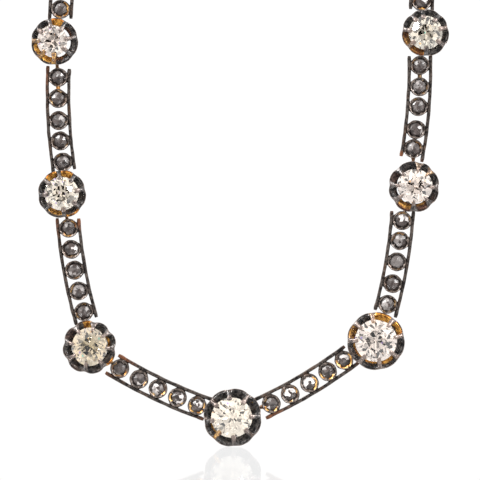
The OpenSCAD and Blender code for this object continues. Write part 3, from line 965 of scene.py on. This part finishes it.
def cut_diamond(number, c):
    """Grinds a round blank facet by facet and sets it in its collet"""
    bm = bmesh.new()
    bmesh.ops.create_cone(bm, cap_ends=True, segments=64, radius1=BLANK_SHARE * c.stone,
                          radius2=BLANK_SHARE * c.stone, depth=3 * c.stone)
    grind(bm, Vector((0, 0, EDGE_T + CROWN * c.stone)), Vector((0, 0, 1)))
    grind(bm, Vector((0, 0, -PAVILION * c.stone)), Vector((0, 0, -1)))
    for n, (a, b, d) in enumerate(diamond_facets(c.stone)):
        normal = (b - a).cross(d - a).normalized()
        middle = (a + b + d) / 3
        if normal.dot(middle) < 0:
            normal = -normal
        slip = drift(Vector((n * 1.37, number * 2.71, SLIPPED.get(number, USUAL_SLIP))))
        normal = (normal + 2 * math.radians(WHEEL_SLIP) * slip).normalized()
        grind(bm, middle, normal)
    rim = bm.verts.layers.float.new("rim")
    for v in bm.verts:
        v[rim] = v.co.xy.length / c.stone
    wide, tall = OVALS.get(number, (1, 1))
    stand(bm, 0, 0, claw_angles(c)[0])
    bmesh.ops.scale(bm, vec=(wide, 1, tall), verts=bm.verts)
    bmesh.ops.translate(bm, vec=(c.x + c.shift_x, -girdle_of(c), c.z + c.shift_z), verts=bm.verts)
    return bm


def colour_ramp(tree, value, *stops, stepped=False):
    """Turns a value into colours, each given with where it is reached"""
    n = tree.nodes.new("ShaderNodeValToRGB")
    if stepped:
        n.color_ramp.interpolation = "CONSTANT"
    elements = n.color_ramp.elements
    for i, (position, colour) in enumerate(stops):
        stop = elements[i] if i < 2 else elements.new(position)
        stop.position = position
        stop.color = (*colour, 1)
    tree.links.new(value, n.inputs["Fac"])
    return n.outputs["Color"]


def diamond(tint):
    """Clear stone, tinted from heart to rim, with small painted sparks of coloured light standing for its
    fire
    """
    made = bpy.data.materials.new(tint.name)
    made.use_nodes = True
    tree = made.node_tree
    shader = tree.nodes["Principled BSDF"]
    shader.inputs["Transmission Weight"].default_value = 1.0
    shader.inputs["IOR"].default_value = 2.417
    shader.inputs["Roughness"].default_value = 0.0
    where = tree.nodes.new("ShaderNodeTexCoord").outputs["Object"]
    uneven = maths(tree, "MULTIPLY", cloud(tree, where, 420, 2), 0.4)
    outward = maths(tree, "MULTIPLY_ADD", mark(tree, "rim"), 0.8, uneven)
    hue = colour_ramp(tree, outward, (0.45, tint.heart), (0.95, tint.rim))
    # Painted fire: rare small spots of the colour turn violet, teal or orange, as flashes of coloured light
    spots = tree.nodes.new("ShaderNodeTexVoronoi")
    spots.inputs["Scale"].default_value = PAINTED_FIRE_SCALE
    tree.links.new(where, spots.inputs["Vector"])
    lot = tree.nodes.new("ShaderNodeSeparateColor")
    tree.links.new(spots.outputs["Color"], lot.inputs[0])
    painted_fire = colour_ramp(tree, lot.outputs[1], *PAINTED_FIRE, stepped=True)
    small = maths(tree, "LESS_THAN", spots.outputs["Distance"], PAINTED_FIRE_SIZE)
    rare = maths(tree, "GREATER_THAN", lot.outputs[0], PAINTED_FIRE_RARE)
    painted_fire_spot = maths(tree, "MULTIPLY", small, rare)
    tree.links.new(mix(tree, painted_fire_spot, hue, painted_fire, "RGBA"), shader.inputs["Base Color"])
    return made


for tint in TINTS:
    clear_stone = diamond(tint)
    for i in tint.stones:
        place_piece(cut_diamond(i, COLLETS[i]), f"diamond_{i}_cut", clear_stone, f"diamond_{i}")

# Rose-cut diamonds. Small grey stones with a flat back and a low point,
# each cut by hand a little differently and closed in from behind, so they
# look dark; a few facets carry painted highlights in their colour.
ROSE_EDGE_R = 1.17
ROSE_EDGE_T = 0.10
ROSE_BASE = 0.45
ROSE_TILT = 5.0
ROSE_DARK = (0.017, 0.013, 0.0125)
ROSE_GREY = (0.062, 0.046, 0.042)
# Pale grey that the clear mark mixes in: a little on dull facets, fully where highlights are painted
ROSE_PALE_AND_PAINTED_HIGHLIGHT = (0.84, 0.79, 0.77)
# Stones with painted highlights on one side: share of facets, towards which angle, how strong
PaintedFlash = namedtuple("PaintedFlash", "share towards light")
PAINTED_FLASHES = {
    (2, 1): PaintedFlash(0.30, 200, 0.40), (3, 3): PaintedFlash(0.25, 80, 0.45), (4, 2): PaintedFlash(0.35, 30, 0.50),
    (5, 1): PaintedFlash(0.30, 60, 0.40), (6, 1): PaintedFlash(0.25, 0, 0.16), (6, 2): PaintedFlash(0.40, 0, 0.36),
    (6, 4): PaintedFlash(0.30, 20, 0.20), (7, 0): PaintedFlash(0.20, 90, 0.25), (7, 1): PaintedFlash(0.30, 30, 0.60),
    (7, 2): PaintedFlash(0.30, 270, 0.35), (7, 3): PaintedFlash(0.50, 100, 0.24), (7, 4): PaintedFlash(0.20, 0, 0.20),
    (8, 0): PaintedFlash(0.12, 230, 0.50), (8, 1): PaintedFlash(0.30, 300, 0.70), (8, 2): PaintedFlash(0.50, 200, 0.56),
    (8, 3): PaintedFlash(0.35, 350, 0.80), (8, 4): PaintedFlash(0.35, 40, 0.65), (9, 0): PaintedFlash(0.15, 250, 0.60),
    (9, 1): PaintedFlash(0.54, 100, 0.90), (9, 2): PaintedFlash(0.50, 130, 0.65), (9, 3): PaintedFlash(0.20, 100, 0.25),
    (9, 4): PaintedFlash(0.50, 110, 0.75), (10, 0): PaintedFlash(0.60, 200, 0.33), (10, 2): PaintedFlash(0.90, 90, 0.14),
    (10, 3): PaintedFlash(0.70, 120, 0.20), (10, 4): PaintedFlash(0.55, 90, 0.75), (11, 0): PaintedFlash(0.50, 150, 0.25),
    (11, 1): PaintedFlash(0.35, 0, 0.45), (11, 2): PaintedFlash(0.30, 90, 0.13), (11, 3): PaintedFlash(0.40, 150, 0.26),
    (11, 4): PaintedFlash(0.40, 60, 0.16), (12, 0): PaintedFlash(0.20, 40, 0.40), (12, 3): PaintedFlash(0.30, 200, 0.50),
    (13, 2): PaintedFlash(0.40, 120, 0.50), (14, 1): PaintedFlash(0.30, 330, 0.45), (15, 4): PaintedFlash(0.35, 160, 0.40),
}
NO_PAINTED_FLASH = PaintedFlash(0.0, 0, 0.0)
rose = bpy.data.materials.new("rose_cut_diamond")
rose.use_nodes = True
tree = rose.node_tree
shader = tree.nodes["Principled BSDF"]
shader.inputs["Transmission Weight"].default_value = 0.04
shader.inputs["IOR"].default_value = 1.5
shader.inputs["Roughness"].default_value = 0.30
flaws = cloud(tree, tree.nodes.new("ShaderNodeTexCoord").outputs["Object"], 1500, 3)
murk = colour_ramp(tree, flaws, (0.36, ROSE_DARK), (0.68, ROSE_GREY))
# The clear mark moves the murk towards pale grey: a little at random on dull facets, much where highlights
# are painted
murk_and_painted_highlights = mix(tree, mark(tree, "clear"), murk, ROSE_PALE_AND_PAINTED_HIGHLIGHT, "RGBA")
tree.links.new(murk_and_painted_highlights, shader.inputs["Base Color"])


def cut_rose(k, j):
    """One small stone on the flat: girdle, two rings of facets and a low point"""
    bm = bmesh.new()
    seed = Vector((k * 5.1, j * 3.7, 0.5))
    lot = noise.noise(seed)
    bmesh.ops.create_cone(bm, cap_ends=True, segments=8, radius1=ROSE_EDGE_R,
                          radius2=ROSE_EDGE_R * 0.97, depth=ROSE_EDGE_T)
    bm.faces.ensure_lookup_table()
    top = max(bm.faces, key=lambda f: f.calc_center_median().z)
    for shrink, rise, twist in ((0.72, 0.24, 20.0), (0.5, 0.16, 14.0)):
        grown = bmesh.ops.extrude_face_region(bm, geom=[top])["geom"]
        bmesh.ops.delete(bm, geom=[top], context="FACES_ONLY")
        top = next(g for g in grown if isinstance(g, bmesh.types.BMFace))
        ring = [g for g in grown if isinstance(g, bmesh.types.BMVert)]
        turn = Matrix.Rotation(math.radians(twist), 3, "Z")
        bmesh.ops.scale(bm, vec=(shrink, shrink, 1), verts=ring)
        bmesh.ops.rotate(bm, cent=(0, 0, 0), matrix=turn, verts=ring)
        bmesh.ops.translate(bm, vec=(0, 0, rise), verts=ring)
    tip = bmesh.ops.poke(bm, faces=[top])["verts"]
    bmesh.ops.translate(bm, vec=(0.3 * lot, 0.25 * lot, 0.07), verts=tip)
    for v in bm.verts:
        if v.co.z > ROSE_EDGE_T:
            push = drift(v.co * 2.3 + seed * 3)
            v.co += Vector((0.16 * push.x, 0.16 * push.y, 0.10 * push.z))
    bmesh.ops.triangulate(bm, faces=[f for f in bm.faces if len(f.verts) == 4])
    for axis, way in (("Y", Vector((0, 4, 0))), ("X", Vector((4, 0, 0)))):
        tilt = Matrix.Rotation(math.radians(ROSE_TILT * noise.noise(seed + way)), 4, axis)
        bmesh.ops.transform(bm, matrix=tilt, verts=bm.verts)
    return bm


def paint_rose_tone_and_flashes(bm, k, j, turn):
    """Marks how pale each facet is: a few carry painted highlights and most are dull"""
    # The clear mark holds painted highlights on facets that face one side, and a small random paleness on
    # the rest
    layer = bm.faces.layers.float.new("clear")
    painted_flash = PAINTED_FLASHES.get((k, j), NO_PAINTED_FLASH)
    seen = math.radians(painted_flash.towards - turn)
    for f in bm.faces:
        middle = f.calc_center_median()
        lot = noise.noise(middle * 1.7 + Vector((k, j * 4.0, 2)))
        facing = (middle.x * math.cos(seen) + middle.y * math.sin(seen)) / ROSE_EDGE_R
        painted_flash_facet = painted_flash.share and facing + 0.8 * lot > 0.9 - 1.5 * painted_flash.share
        f[layer] = painted_flash.light * (0.7 + 0.9 * lot) if painted_flash_facet else max(0.0, 0.01 + 0.17 * lot)


for side, first, last in (("left", 1, 8), ("right", 9, 16)):
    bm = bmesh.new()
    for k in range(first, last + 1):
        for j in range(ROSES):
            one = cut_rose(k, j)
            turn = 37 * k + 71 * j
            paint_rose_tone_and_flashes(one, k, j, turn)
            x, z = rose_place(k, j)
            bmesh.ops.translate(one, vec=(0, 0, ROSE_BASE + ROSE_EDGE_T / 2), verts=one.verts)
            stand(one, x, z, turn)
            solder(bm, one)
    place_piece(bm, f"rose_stones_{side}", rose, f"small_diamonds_{side}")

# Clasp. A plain box of the same blackened silver behind the neck, bevelled
# along its length, with an eye at each end that a bar hooks into. Its solid
# has that form already and only takes the metal.
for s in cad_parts["clasp"].material_slots:
    s.material = bar_metal
